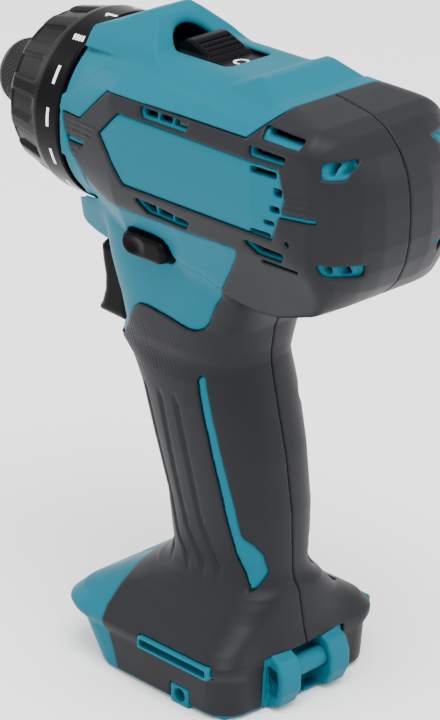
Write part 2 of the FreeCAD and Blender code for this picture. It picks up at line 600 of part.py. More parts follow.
CASE_R, CASE_BORE = 20.6, 18.9
export("ring_gear_1", ring_gear(-9.3, -2.5, CASE_BORE, ring_1_phase))
export("ring_gear_3", ring_gear(13.4, 20.4, CASE_BORE, ring_3_phase))
ring_2 = ring_gear(4.0, 12.6, 18.5, ring_2_phase)
ring_2 = ring_2.cut(tube(7.1, 9.5, 20.0, 17.6))
export("ring_gear_2", ring_2)
carrier_1 = fuse([cyl(-2.2, 0.4, 14.0), gear(0.4, 8.2, SUN_2, math.pi / 2)]
                 + carrier_pins(-8.8, -2.2, CENTRE_1, 2.0))
export("carrier_1", carrier_1)
spline = Part.Face(gear_wire(8.4, RING_TEETH, ring_2_phase + math.pi / RING_TEETH, 16.1, 14.3, -0.5))
carrier_2 = fuse([spline.extrude(Vector(3.2, 0, 0)), gear(11.6, 20.3, SUN_3, math.pi / 2)]
                 + carrier_pins(1.3, 8.4, CENTRE_2, 1.8))
export("carrier_2", carrier_2)

# ---- gear case, motor plate, clutch -------------------------------------------------------------
NECK_R = 11.2
plate = tube(-12.0, -9.6, 20.4, 6.3)
for screw_hole in around(cyl(-13, -9, 1.6, 0.0, AXIS_Z + 10.0), 2, math.pi / 2):
    plate = plate.cut(screw_hole)
export("motor_plate", plate)
case = fuse([tube(-9.5, 24.4, CASE_R, CASE_BORE), tube(24.4, 27.4, 23.6, 8.4), tube(26.4, 31.2, 23.6, 19.4),
             tube(27.0, 56.4, NECK_R, 10.1), tube(27.0, 42.0, NECK_R, 8.4), tube(21.0, 24.6, 19.5, 15.0)])
case = case.cut(tube(55.2, 56.0, 12.0, 10.6))
for guide in around(cyl(20.0, 28.0, 1.9, 0.0, AXIS_Z + 16.9), 6):
    case = case.cut(guide)
wire_slot = box(0.6, 9.6, -30.0, 30.0, AXIS_Z - 1.2, AXIS_Z + 1.2)
case = case.cut(wire_slot)
export("gear_case", case)
pin = fuse([cyl(22.6, 27.0, 1.7, 0.0, AXIS_Z + 16.9), Part.makeSphere(1.7, Vector(22.6, 0, AXIS_Z + 16.9)),
            Part.makeSphere(1.7, Vector(27.0, 0, AXIS_Z + 16.9))])
export("clutch_pins", Part.makeCompound(around(pin, 6)))
export("clutch_washer", tube(28.8, 30.2, 18.8, 11.8))
export("clutch_spring", coil(30.3, 43.9, 15.4, 1.3, 3.5))
holder = tube(44.0, 48.0, 20.2, 11.5)
for notch in around(box(43, 49, -1.6, 1.6, AXIS_Z + 18.8, AXIS_Z + 21.0), 4):
    holder = holder.cut(notch)
export("spring_holder", holder)
export("spindle_bearing", tube(44.0, 54.0, 10.1, 7.8 + RUN))
export("retaining_ring", tube(55.3, 55.9, 13.6, 10.6).cut(box(55, 56.4, -2.0, 2.0, 140.0, AXIS_Z)))

# ---- torque ring --------------------------------------------------------------------------------
x0, x1 = RING_X
profile = [(x0, 24.4), (x0, RING_R[0]), (41.0, 26.6), (43.0, 25.8), (x1 - 1.2, 23.3), (x1, RING_R[1]),
           (x1, 20.0),
           (55.0, 19.4), (55.0, NECK_R + GAP), (52.6, NECK_R + GAP), (52.6, 20.6), (36.0, 20.6), (36.0, 22.2),
           (51.5, 22.2), (51.5, 22.6), (46.0, 23.6), (34.0, 24.4)]
ring = Part.Face(polygon([Vector(x, 0, AXIS_Z + r) for x, r in profile]))
ring = ring.revolve(Vector(0, 0, AXIS_Z), Vector(1, 0, 0), 360)
pocket_side = [(42.2, 25.2), (58.0, 21.6), (58.0, 40.0), (42.2, 40.0)]
pocket = prism_y([(x, AXIS_Z + r) for x, r in pocket_side], -3.2, 3.2)
for cutter in around(pocket, RING_POCKETS, RING_PHASE):
    ring = ring.cut(cutter)
export("torque_ring", ring)

# ---- spindle, bit socket ------------------------------------------------------------------------
SPINDLE_NOSE_R = 6.3
HEX_CORNER_R = HEX_AF / math.sqrt(3)
hex_points = [Vector(46.0, HEX_CORNER_R * math.cos(a), AXIS_Z + HEX_CORNER_R * math.sin(a))
              for a in [math.pi / 3 * i for i in range(6)]]
hex_face = Part.Face(polygon(hex_points))
hex_bore = hex_face.extrude(Vector(40.0, 0, 0))
spindle = fuse([cyl(20.6, 24.0, 14.5), cyl(24.0, 56.6, 7.8), cyl(56.6, 76.0, SPINDLE_NOSE_R)]
               + carrier_pins(13.8, 20.6, CENTRE_3, 1.5))
spindle = spindle.cut(hex_bore).cut(tube(74.6, 75.4, 8.0, 5.6))
BALL_R, BALL_X = 1.5, 63.0
ball_places = [(0.0, 4.72), (0.0, -4.72)]
for y, z in ball_places:
    spindle = spindle.cut(Part.makeCylinder(BALL_R + RUN, 5.0, Vector(BALL_X, 0, AXIS_Z),
                                            Vector(0, 0, 1 if z > 0 else -1)))
    spindle = spindle.cut(Part.makeCylinder(BALL_R + RUN, 4.0,
                                            Vector(BALL_X, 0, AXIS_Z + math.copysign(3.0, z)),
                                            Vector(0, 0, 1 if z > 0 else -1)))
export("spindle", spindle)
export("bit_balls", Part.makeCompound([
    Part.makeSphere(BALL_R, Vector(BALL_X, y, AXIS_Z + z)) for y, z in ball_places]))
export("stop_ring", tube(74.65, 75.35, 8.0, 5.65).cut(box(74, 76, -1.5, 1.5, 145.0, AXIS_Z)))

s0, s1 = SLEEVE_X
sleeve = cyl(s0, s1, SLEEVE_R)
rims = [e for e in sleeve.Edges if e.Curve.TypeId == "Part::GeomCircle"]
sleeve = sleeve.makeChamfer(0.8, rims)
sleeve = sleeve.cut(cyl(s0 - 1, 61.0, 8.0)).cut(cyl(60.0, 66.0, SPINDLE_NOSE_R + RUN))
sleeve = sleeve.cut(cyl(65.0, s1 + 1, 8.5))
groove_floor = AXIS_Z + SLEEVE_R - 0.35
for groove in around(box(s0 + 3.0, s1 - 3.0, -0.35, 0.35, groove_floor, groove_floor + 1.5), 24):
    sleeve = sleeve.cut(groove)
export("bit_sleeve", sleeve)
export("sleeve_spring", coil(65.1, 74.55, 7.3, 0.5, 4.5))

# ---- speed selector -----------------------------------------------------------------------------
carriage = box(-15.6, 17.2, -9.8, 9.8, 178.1, 180.3)
knob_side = [(-8.9, 180.2), (-8.9, 182.6), (-6.0, 184.6), (4.0, 184.6), (10.1, 182.2), (10.1, 180.2)]
knob = prism_y(knob_side, -7.8, 7.8)
knob = knob.common(fuse([box(-8.9, 10.1, -3.0, 3.0, 179, 186), box(-4.1, 5.3, -7.8, 7.8, 179, 186)]
                        + [cyl_z(x, y, 4.8, 179, 186) for x in (-4.1, 5.3) for y in (-3.0, 3.0)]))
selector = carriage.fuse(knob)
for i in range(4):
    selector = selector.cut(box(-7.2 + 2.4 * i, -6.2 + 2.4 * i, -6.8, 6.8, 183.6, 186.0))
export("speed_selector", selector)
WIRE_R, WIRE_BEND = 0.75, 22.0
wire = []
for side in (-1, 1):
    arc = [(8.3, side * WIRE_BEND * math.cos(a), AXIS_Z + WIRE_BEND * math.sin(a))
           for a in [math.radians(d) for d in (0, 15, 30, 45, 58)]]
    wire.append(pipe(arc, WIRE_R))
    y0, y1 = sorted((side * 18.0, side * WIRE_BEND))
    wire.append(cyl_y(8.3, AXIS_Z, WIRE_R, y0, y1))
    wire.append(Part.makeSphere(WIRE_R, Vector(8.3, side * WIRE_BEND, AXIS_Z)))
    y0, y1 = sorted((side * 9.0, side * 12.4))
    wire.append(box(6.6, 10.0, y0, y1, 174.9, 178.1).cut(cyl(0.0, 20.0, 20.95)))
export("shift_wire", fuse(wire))
print("done")
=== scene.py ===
import json
import math

import bpy
import numpy as np
import openvdb as vdb
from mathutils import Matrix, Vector


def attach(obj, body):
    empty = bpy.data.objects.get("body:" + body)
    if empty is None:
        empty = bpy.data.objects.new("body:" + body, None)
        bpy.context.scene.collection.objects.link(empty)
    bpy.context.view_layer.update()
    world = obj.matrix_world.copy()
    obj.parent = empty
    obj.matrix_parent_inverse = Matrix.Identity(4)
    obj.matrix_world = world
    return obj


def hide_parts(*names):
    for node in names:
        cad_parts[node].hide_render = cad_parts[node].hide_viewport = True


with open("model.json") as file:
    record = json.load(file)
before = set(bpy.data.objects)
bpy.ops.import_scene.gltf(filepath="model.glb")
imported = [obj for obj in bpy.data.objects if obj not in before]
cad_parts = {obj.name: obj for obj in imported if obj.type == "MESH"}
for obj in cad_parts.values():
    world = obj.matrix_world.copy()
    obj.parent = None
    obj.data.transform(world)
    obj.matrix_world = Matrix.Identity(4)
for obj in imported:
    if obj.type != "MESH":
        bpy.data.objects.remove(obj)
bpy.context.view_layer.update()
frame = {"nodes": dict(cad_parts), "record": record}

# Lengths in this script are millimetres until a mesh is made; X nose, Y left, Z up.
AX = 157.0                 # drill axis height
H = 0.42                   # grid step of the large shells
MM = 0.001


# ---- materials ------------------------------------------------------------------------------
MOTTLE_SCALE = 45.0        # colour and gloss patches per metre
GLOSS_SPREAD = 0.05        # roughness swing either way


def material(name, base, rough, metallic=0.0, grain=0.3, relief=0.02, mottle=0.06, spec=0.5, coat=0.0,
             stretch=(1, 1, 1)):
    """Principled surface with fine relief (grain, relief in mm), colour mottle and uneven gloss."""
    m = bpy.data.materials.new(name)
    m.use_nodes = True
    nt = m.node_tree
    nodes, links = nt.nodes, nt.links
    bsdf = nodes["Principled BSDF"]
    bsdf.inputs["Metallic"].default_value = metallic
    bsdf.inputs["Specular IOR Level"].default_value = spec
    bsdf.inputs["Coat Weight"].default_value = coat
    coord = nodes.new("ShaderNodeTexCoord")
    mapping = nodes.new("ShaderNodeMapping")
    mapping.inputs["Scale"].default_value = stretch
    links.new(coord.outputs["Object"], mapping.inputs["Vector"])
    fine = nodes.new("ShaderNodeTexNoise")
    fine.inputs["Scale"].default_value = 1.0 / (grain * MM)
    fine.inputs["Detail"].default_value = 3.0
    broad = nodes.new("ShaderNodeTexNoise")
    broad.inputs["Scale"].default_value = MOTTLE_SCALE
    broad.inputs["Detail"].default_value = 4.0
    links.new(mapping.outputs["Vector"], fine.inputs["Vector"])
    links.new(mapping.outputs["Vector"], broad.inputs["Vector"])
    bump = nodes.new("ShaderNodeBump")
    bump.inputs["Strength"].default_value = 0.6
    bump.inputs["Distance"].default_value = relief * MM
    links.new(fine.outputs["Fac"], bump.inputs["Height"])
    links.new(bump.outputs["Normal"], bsdf.inputs["Normal"])
    tint = nodes.new("ShaderNodeMix")
    tint.data_type = "RGBA"
    tint.inputs["A"].default_value = tuple(c * (1 - mottle) for c in base) + (1,)
    tint.inputs["B"].default_value = tuple(min(1, c * (1 + mottle)) for c in base) + (1,)
    links.new(broad.outputs["Fac"], tint.inputs["Factor"])
    links.new(tint.outputs["Result"], bsdf.inputs["Base Color"])
    gloss = nodes.new("ShaderNodeMapRange")
    gloss.inputs["From Min"].default_value = 0.3
    gloss.inputs["From Max"].default_value = 0.7
    gloss.inputs["To Min"].default_value = max(0.04, rough - GLOSS_SPREAD)
    gloss.inputs["To Max"].default_value = min(1.0, rough + GLOSS_SPREAD)
    links.new(broad.outputs["Fac"], gloss.inputs["Value"])
    links.new(gloss.outputs["Result"], bsdf.inputs["Roughness"])
    return m


TEAL = material("teal plastic", (0.002, 0.104, 0.150), 0.45, grain=0.35, relief=0.010, mottle=0.03, spec=0.08)
SOFT = material("soft grip", (0.0078, 0.0082, 0.0102), 0.50, grain=0.30, relief=0.035, mottle=0.12, spec=0.17)
BLACK = material("black plastic", (0.0022, 0.0022, 0.0028), 0.25, grain=0.30, relief=0.012, mottle=0.10,
                 spec=0.05)
WHITE = material("white paint", (0.80, 0.80, 0.80), 0.45, grain=0.2, relief=0.006, mottle=0.02)
OXIDE = material("black oxide steel", (0.014, 0.014, 0.015), 0.36, 0.6, grain=0.25, relief=0.02, mottle=0.25,
                 spec=0.3)
STEEL = material("ground steel", (0.50, 0.50, 0.51), 0.28, 1.0, grain=0.5, relief=0.006, stretch=(0.2, 1, 1))
ZINC = material("zinc plate", (0.55, 0.56, 0.58), 0.34, 1.0, grain=0.6, relief=0.008)
SINTER = material("sintered steel", (0.24, 0.235, 0.23), 0.5, 0.9, grain=0.15, relief=0.02, mottle=0.2)
ALU = material("die-cast aluminium", (0.62, 0.62, 0.63), 0.42, 1.0, grain=0.4, relief=0.02)
COPPER = material("copper", (0.70, 0.30, 0.15), 0.35, 1.0, grain=0.4, relief=0.02, stretch=(1, 5, 5))
BRONZE = material("oilite bronze", (0.42, 0.27, 0.12), 0.45, 0.9, grain=0.15, relief=0.015)
FERRITE = material("ferrite", (0.05, 0.05, 0.052), 0.6, 0.2, grain=0.2, relief=0.02)
NYLON = material("glass-filled nylon", (0.18, 0.18, 0.18), 0.5, grain=0.3, relief=0.012)
BOARD = material("circuit board", (0.01, 0.10, 0.03), 0.35, grain=0.8, relief=0.01, coat=0.4)
WIRE = material("silicone lead", (0.28, 0.015, 0.012), 0.5, grain=0.5, relief=0.01)
LENS = material("clear lens", (0.78, 0.80, 0.82), 0.12, grain=0.9, relief=0.01, coat=0.6)
BY_SLOT = {
    "teal_plastic": TEAL, "soft_grip": SOFT, "black_plastic": BLACK, "dark_steel": OXIDE, "steel": STEEL,
    "sintered": SINTER, "zinc_steel": ZINC, "spring_steel": ZINC, "aluminium": ALU, "copper": COPPER,
    "brass": BRONZE, "bronze": BRONZE, "magnet": FERRITE, "grey_plastic": NYLON, "clear_plastic": LENS,
    "board": BOARD, "lead_insulation": WIRE, "white_paint": WHITE,
}
slots = {s["node"]: s["material_slot"] for s in frame["record"]["subparts"]}
for node, obj in frame["nodes"].items():
    obj.data.materials.clear()
    obj.data.materials.append(BY_SLOT[slots[node]])


# ---- mesh and distance-field helpers ----------------------------------------------------------
def new_mesh(name, verts, faces, mat, body, smooth=True):
    """Mesh object riding body; faces: index arrays, each (n, 3) or (n, 4); verts in millimetres."""
    mesh = bpy.data.meshes.new(name)
    verts = np.asarray(verts, dtype=np.float32) * MM
    faces = [np.asarray(f, dtype=np.int32) for f in faces if len(f)]
    loops = np.concatenate([f.ravel() for f in faces])
    sizes = np.concatenate([np.full(len(f), f.shape[1], dtype=np.int32) for f in faces])
    starts = np.concatenate([[0], np.cumsum(sizes)[:-1]]).astype(np.int32)
    mesh.vertices.add(len(verts))
    mesh.vertices.foreach_set("co", verts.ravel())
    mesh.loops.add(len(loops))
    mesh.loops.foreach_set("vertex_index", loops)
    mesh.polygons.add(len(sizes))
    mesh.polygons.foreach_set("loop_start", starts)
    mesh.update(calc_edges=True)
    mesh.validate()
    if smooth:
        mesh.shade_smooth()
    obj = bpy.data.objects.new(name, mesh)
    bpy.context.scene.collection.objects.link(obj)
    mesh.materials.append(mat)
    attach(obj, body)
    return obj


def smin(a, b, k):
    """Union of two distance fields with a fillet of size k."""
    h = np.clip(0.5 + 0.5 * (b - a) / k, 0, 1)
    return b + (a - b) * h - k * h * (1 - h)


def smax(a, b, k):
    """Intersection of two distance fields with a rounded edge of size k."""
    return -smin(-a, -b, k)


def union(*fields):
    result = fields[0]
    for field in fields[1:]:
        result = np.minimum(result, field)
    return result


def intersection(*fields):
    result = fields[0]
    for field in fields[1:]:
        result = np.maximum(result, field)
    return result


def polygon(points, u, v):
    """Signed distance (negative inside) to a closed outline, on broadcast coordinates."""
    u, v = np.broadcast_arrays(u, v)
    best = np.full(u.shape, 1e9, dtype=np.float32)
    inside = np.zeros(u.shape, dtype=bool)
    for (ax, ay), (bx, by) in zip(points, points[1:] + points[:1]):
        ex, ey = bx - ax, by - ay
        t = np.clip(((u - ax) * ex + (v - ay) * ey) / (ex * ex + ey * ey), 0, 1)
        best = np.minimum(best, (u - ax - t * ex) ** 2 + (v - ay - t * ey) ** 2)
        if ay != by:
            inside ^= ((ay > v) != (by > v)) & (u < ex * (v - ay) / ey + ax)
    return np.where(inside, -1, 1) * np.sqrt(best)


def box(x, y, z, x0, x1, y0, y1, z0, z1, r=0.0):
    """Signed distance to a block with edge radius r."""
    qx = np.abs(x - (x0 + x1) / 2) - (x1 - x0) / 2 + r
    qy = np.abs(y - (y0 + y1) / 2) - (y1 - y0) / 2 + r
    qz = np.abs(z - (z0 + z1) / 2) - (z1 - z0) / 2 + r
    out = np.sqrt(np.maximum(qx, 0) ** 2 + np.maximum(qy, 0) ** 2 + np.maximum(qz, 0) ** 2)
    return out + np.minimum(np.maximum(qx, np.maximum(qy, qz)), 0) - r


def surface(d, low, step):
    """Mesh of the zero level: vertices in millimetres and its faces, normals outward."""
    band = 3 * step
    grid = vdb.FloatGrid(background=band)
    grid.copyFromArray(np.clip(d, -band, band).astype(np.float32))
    points, tris, quads = grid.convertToPolygons(isovalue=0.0, adaptivity=0.0)
    verts = np.asarray(points, dtype=np.float32) * step + np.array(low, dtype=np.float32)
    tris = np.asarray(tris, dtype=np.int32).reshape(-1, 3)
    quads = np.asarray(quads, dtype=np.int32).reshape(-1, 4)
    q = quads[:, :3] if len(quads) else tris
    a, b, c = verts[q[:, 0]], verts[q[:, 1]], verts[q[:, 2]]
    if np.einsum("ij,ij->", np.cross(a, b), c) < 0:
        tris, quads = tris[:, ::-1], quads[:, ::-1]
    return verts, [tris, quads]


def relax(obj, rounds=2, factor=0.5):
    m = obj.modifiers.new("relax", "SMOOTH")
    m.factor = factor
    m.iterations = rounds
    return obj


def mirrored(verts, faces):
    """The same mesh across the centre plane, normals kept outward."""
    flipped = verts.copy()
    flipped[:, 1] *= -1
    return flipped, [f[:, ::-1] for f in faces]


def axes(low, high, step):
    """Broadcastable x, y and z coordinates of a grid."""
    span = [np.arange(l, h, step, dtype=np.float32) for l, h in zip(low, high)]
    return span[0][:, None, None], span[1][None, :, None], span[2][None, None, :]


# ---- outer form -----------------------------------------------------------------------------
# Side outlines are (x, z), plan outlines (x, y), cross-sections (y, z).
HEAD_SIDE = [(45, 184.2), (31.6, 184.0), (22, 183.4), (12, 182.5), (7, 182.2), (-28, 182.2), (-41.5, 180.4),
             (-50, 179.4), (-60, 177.6), (-65, 175.4), (-70, 171), (-74.2, 165.8), (-76.4, 160), (-77, 154),
             (-76.6, 146), (-74, 139.4), (-70, 134), (-64.5, 129.4), (-58, 126.2), (-50, 123.2), (-44, 121.2),
             (-38, 121.4), (-30, 126), (-20, 130), (0, 131), (45, 130)]
HEAD_PLAN = [(45, 27.0), (30, 27.0), (22, 27.3), (8, 28.4), (-44, 28.5), (-54, 27.6), (-62, 25.4),
             (-68, 21.8), (-73, 16.2), (-76, 9.4), (-77, 0)]
HEAD_FACETS = [            # two points of each flat on the head's cross-section
    ((14, 181.2), (22, 177.0)), ((22, 177.0), (27.0, 173.0)), ((27.0, 173.0), (28.6, 168.2)),
    ((28.6, 148.2), (25.8, 141.2)), ((26.4, 143.0), (21.0, 123.0))]
HEAD_FRONT = 31.5
HANDLE = [                 # height, rear x, front x, half width, squareness
    (10.0, -34.0, 9.5, 15.5, 2.6), (30.0, -33.0, 8.6, 14.8, 2.6), (38.0, -33.1, 8.0, 14.8, 2.5),
    (54.0, -32.8, 9.4, 16.5, 2.4), (71.0, -30.3, 14.6, 17.7, 2.4), (85.0, -27.0, 18.6, 18.4, 2.4),
    (92.0, -25.4, 22.6, 18.2, 2.4), (96.0, -24.6, 27.6, 17.6, 2.5), (98.0, -24.2, 27.8, 17.6, 2.5),
    (101.0, -24.2, 25.4, 18.2, 2.6), (109.0, -25.5, 26.5, 18.4, 3.0), (120.0, -31.0, 28.0, 19.4, 4.0),
    (130.0, -40.0, 29.5, 20.2, 4.5), (141.0, -48.0, 30.5, 20.6, 4.5), (150.0, -50.0, 30.5, 18.0, 4.5)]
HANDLE_TOP = 146
FOOT = [                   # height, rear x, front x, half width
    (-2.0, -36.5, 21.6, 29.3), (0.0, -36.5, 22.4, 29.4), (12.5, -37.4, 29.8, 29.9), (15.0, -37.9, 32.2, 31.8),
    (17.0, -37.9, 33.4, 32.2), (20.5, -36.2, 30.0, 29.6), (26.0, -34.5, 20.0, 21.0), (31.0, -33.0, 11.0, 15.5)]
FOOT_TOP = 30
FOOT_CORNER = (9.0, 4.0)   # corner radius at the rear, and what the front adds
CHIN_SIDE = [(14, 141), (33, 141), (39.5, 136), (41.0, 131), (41.0, 128), (39.0, 124.4), (35.6, 121.2),
             (32, 119.6), (24, 119.4), (14, 112)]
CHIN_PLAN = [(10, 20.3), (22, 20.0), (31, 18.6), (35, 16.8), (38.4, 13.2), (40.8, 8), (41.4, 0), (40.8, -8),
             (38.4, -13.2), (35, -16.8), (31, -18.6), (22, -20.0), (10, -20.3)]
NOSE_R = 27.0              # round nose behind the torque ring
NOSE_ROOM_R = 27.4         # bore of the chin around the torque ring
NECK_R = 23.8              # bore of the nose
RING_REAR = 31.6


def plane_yz(y, z, p, q):
    """Distance to the plane through two (y, z) points; positive to the right of p -> q going down."""
    ey, ez = q[0] - p[0], q[1] - p[1]
    length = math.hypot(ey, ez)
    return ((y - p[0]) * -ez + (z - p[1]) * ey) / length


def ramp(v, start, end):
    """0 at start, 1 at end, clamped."""
    return np.clip((v - start) / (end - start), 0, 1)


def at_height(table, z):
    """Columns of a table of sections, interpolated at height z."""
    levels = [row[0] for row in table]
    return [np.interp(z, levels, column) for column in list(zip(*table))[1:]]


def body_form(x, y, z):
    """Outer skin of the housing, all regions, without the top cover's humps."""
    ya = np.abs(y)
    x_z = x[:, :, 0], z[0, 0, :][None, :]
    x_y = x[:, :, 0], y[0, :, 0][None, :]
    from_axis = np.sqrt(ya ** 2 + (z - AX) ** 2)

    side = polygon(HEAD_SIDE, *x_z)[:, None, :]
    plan = polygon(HEAD_PLAN + [(px, -py) for px, py in reversed(HEAD_PLAN[:-1])], *x_y)[:, :, None]
    head = smax(side, plan, 2.0 + 9.0 * ramp(x, -46, -68))
    facets = intersection(*[plane_yz(ya, z, p, q) for p, q in HEAD_FACETS])
    mid = ramp(x, 28, 10)
    head = smax(head, facets * mid + np.maximum(from_axis - NOSE_R, facets) * (1 - mid), 1.4)
    head = np.maximum(head, x - HEAD_FRONT)

    h0, h1, hw, hn = at_height(HANDLE, z)
    u = np.abs(x - (h0 + h1) / 2) / ((h1 - h0) / 2)
    ratio = (u ** hn + (ya / hw) ** hn + 1e-6) ** (1 / hn)
    handle = smax((ratio - 1) * np.minimum(hw, (h1 - h0) / 2), z - HANDLE_TOP, 2)

    f0, f1, fw = at_height(FOOT, z)
    corner = FOOT_CORNER[0] + FOOT_CORNER[1] * ramp(x, 4, 14)
    qx = np.abs(x - (f0 + f1) / 2) - (f1 - f0) / 2 + corner
    qy = ya - fw + corner
    foot = np.sqrt(np.maximum(qx, 0) ** 2 + np.maximum(qy, 0) ** 2)
    foot = foot + np.minimum(np.maximum(qx, qy), 0) - corner
    foot = smax(foot * 0.8, z - FOOT_TOP, 2)

    chin = smax(polygon(CHIN_SIDE, *x_z)[:, None, :], polygon(CHIN_PLAN, *x_y)[:, :, None], 1.2)
    chin = smax(chin, (ya - 10.5 - (z - 121) * 0.6) * 0.86, 1.4)
    chin = np.maximum(chin, -np.maximum(from_axis - NOSE_ROOM_R, RING_REAR - x))

    # the fillet under the head opens out towards the rear
    d = smin(head, handle, 0.8 + 9.0 * ramp(x, 4, -14))
    d = smin(d, foot, 9.0)
    d = smin(d, chin, 1.0)
    return np.maximum(d, -z)


# side outlines of the regions, and of what is cut into them
COVER = [(31.5, 162.6), (22.6, 162.5), (11.8, 172.7), (-40.9, 172.9), (-46.2, 179.0), (-41.8, 200), (60, 200),
         (60, 162.6)]
COLLAR = [(40, 163.4), (30.3, 163.4), (30.3, 161.8), (27.6, 153.4), (24.1, 147.2), (24.1, 124), (40, 124)]
WINDOW = [(14.2, 160.4), (6.2, 168.0), (-43.5, 167.6), (-53.4, 167.5), (-55.2, 159.2), (-51.0, 147.9),
          (5.2, 148.1)]
PANEL = [(40, 147.2), (24.1, 147.2), (22.3, 144.4), (15.0, 139.9), (3.9, 139.8), (-36.0, 141.1), (-36.2, 139.8),
         (-35.3, 137.6), (-32.1, 133.0), (-27.8, 127.0), (-20.3, 117.7), (-17.2, 111.9), (-15.1, 109.4),
         (-12.4, 108.1), (-9.7, 108.0), (-2.7, 109.5), (5.8, 110.5), (9.3, 110.1), (12.1, 108.0), (14.9, 104.1),
         (18.7, 98.3), (20.6, 96.4), (60, 96.4), (60, 147.2)]
RIM = [(60, 150), (60, 166.7), (29, 166.7), (19.4, 175.9), (0, 177.0), (-17, 176.6), (-39.2, 175.6),
       (-42.0, 179.5), (-60, 179.5), (-60, 150)]
RIM_STEP = 0.55            # how far the cover lies back above its rim
STRIP = [(-12.1, 93.2), (-12.8, 94.4), (-14.0, 94.6), (-16.4, 86.8), (-20.6, 71.1), (-24.3, 56.8),
         (-25.7, 49.2), (-28.4, 47.0), (-30.2, 44.0), (-31.0, 38.4), (-29.6, 34.2), (-28.4, 33.4),
         (-27.2, 35.2), (-23.9, 43.8), (-20.1, 61.5), (-16.3, 77.0)]
LOOP = [(-32.5, 15.8), (-37.6, 17.4), (-41.2, 15.6), (-43.0, 11.6), (-42.9, 6.2), (-40.6, 1.6), (-36.4, 0.2),
        (-32.5, 0.2)]
LOOP_HOLE = [(-36.2, 13.6), (-40.0, 12.6), (-40.6, 8.4), (-39.6, 4.6), (-36.8, 3.8)]
VENTS = [                  # outline of each through vent, number of cells
    ([(-2.4, 171.3), (-19.6, 171.2), (-19.2, 169.6), (-3.2, 169.6)], 3),
    ([(-45.2, 175.6), (-58.2, 175.3), (-58.0, 173.9), (-46.0, 174.1)], 1),
    ([(-43.4, 171.0), (-54.8, 170.6), (-54.4, 169.4), (-43.6, 169.5)], 1),
    ([(-64.4, 170.2), (-68.0, 170.2), (-67.9, 167.0), (-64.8, 167.2)], 2),
    ([(0.4, 144.9), (-6.6, 144.6), (-19.0, 143.4), (-18.1, 142.3), (-3.0, 142.3)], 3),
    ([(-41.2, 144.6), (-53.9, 144.0), (-53.2, 142.7), (-44.8, 142.6)], 1),
    ([(-64.2, 143.2), (-71.6, 142.6), (-71.2, 140.4), (-65.4, 141.2)], 3),
]
WEB_HALF = 0.45            # half thickness of the webs between vent cells
CASTLES = [                # rear edge of the window: x0, x1, z0, z1 of each notch
    (-52.4, -43.6, 164.7, 166.5), (-54.2, -51.5, 160.0, 162.3), (-53.5, -50.2, 155.5, 157.1),
    (-51.8, -48.1, 151.7, 152.9), (-50.5, -43.2, 148.1, 149.3)]
FLUTES = [                 # heights and x of each groove down the front of the grip
    ([33, 42.5, 54, 81, 88], [-7.8, -1.3, 0.9, 8.0, 10.5]),
    ([33, 46.5, 62.6, 84.8, 88], [-13.6, -6.9, -3.2, 1.0, 1.7]),
    ([33, 49.4, 69.8, 86.3, 88], [-19.1, -13.1, -8.9, -5.1, -4.7]),
    ([33, 42, 54, 81, 88], [1.0, 5.6, 7.4, 14.2, 16.0])]
FLUTE_HALF = 1.3
FLUTE_DEPTH = 0.75
PEBBLE_DEPTH = 0.16
LEVER = (1.3, 130.2)       # centre of the reversing bar (x, z)
LEVER_REACH = 5.1          # half the straight part of its oblong outline
LEVER_R = 3.8
LEVER_HOLE_R = 4.15
LEVER_END = 24.5           # how far each end stands from the centre plane
LAMP_Z = 124.6
LAMP_BORE_R = 3.45
CLIP = (-18.2, 3.1)        # clip screw (x, z)
CLIP_HOLE_R = 2.0
STRAP_PIN = (-38.0, 10.4)  # strap bar (x, z)
STRAP_PIN_HOLE_R = 3.2
SCREWS = [(-60.0, 133.5), (-16.5, 131.5), (21.5, 127.6), (-20.8, 84.0), (-26.0, 50.0), (4.5, 60.0),
          (-27.5, 27.5)]
SCREW_R = 2.95

# depths below the outer form
GAP = 0.10                 # line between soft skin and plastic
SKIN = 1.15                # thickness of the soft skin
SHELL = (1.2, 3.4)         # outer and inner face of the plastic under the soft skin
PLASTIC = (0.55, 1.6)      # outer and inner face of the plastic where it shows
SEAM = 0.04                # each half stops this short of the centre plane

LOW = (-78.3, -1.3, -1.3)
HIGH = (46.0, 34.6, 186.0)


def relief(x, y, z):
    """Grip flutes, pebbled grip top, and the fine ribs at the two ends of the band."""
    flutes = np.zeros(1, dtype=np.float32)
    for line_z, line_x in FLUTES:
        line = np.interp(z, line_z, line_x)
        groove = np.clip(1 - np.abs(x - line) / FLUTE_HALF, 0, 1) * ramp(z, 33, 37)
        flutes = flutes + FLUTE_DEPTH * groove * ramp(z, 87.5, 84.5) * (y > 3)
    pebble = np.sin(x * 3.1 + z * 1.3) * np.sin(z * 3.4 - x * 0.9) * ramp(z, 88.5, 90.5)
    pebble = PEBBLE_DEPTH * pebble * ramp(z, 108, 105) * ramp(x, -8, -4) * (z < 111)
    rear = np.clip(1 - np.abs(np.mod(z - 156.6, 1.6) - 0.8) / 0.5, 0, 1)
    rear = rear * (x > -63.5) * (x < -55.6) * (z > 156.4) * (z < 161.4)
    front = np.clip(1 - np.abs(np.mod(z, 1.5) - 0.75) / 0.5, 0, 1) * (x > 15.4) * (x < 29.2)
    front = front * (z < 161.6) * (z > 148.4) * (np.abs(z - 155.3) > 1.6) * (x > 29.6 - (z - 147) * 1.0)
    ribs = (rear * 0.3 + front * 0.35) * (y > 15)
    return flutes, ribs, pebble


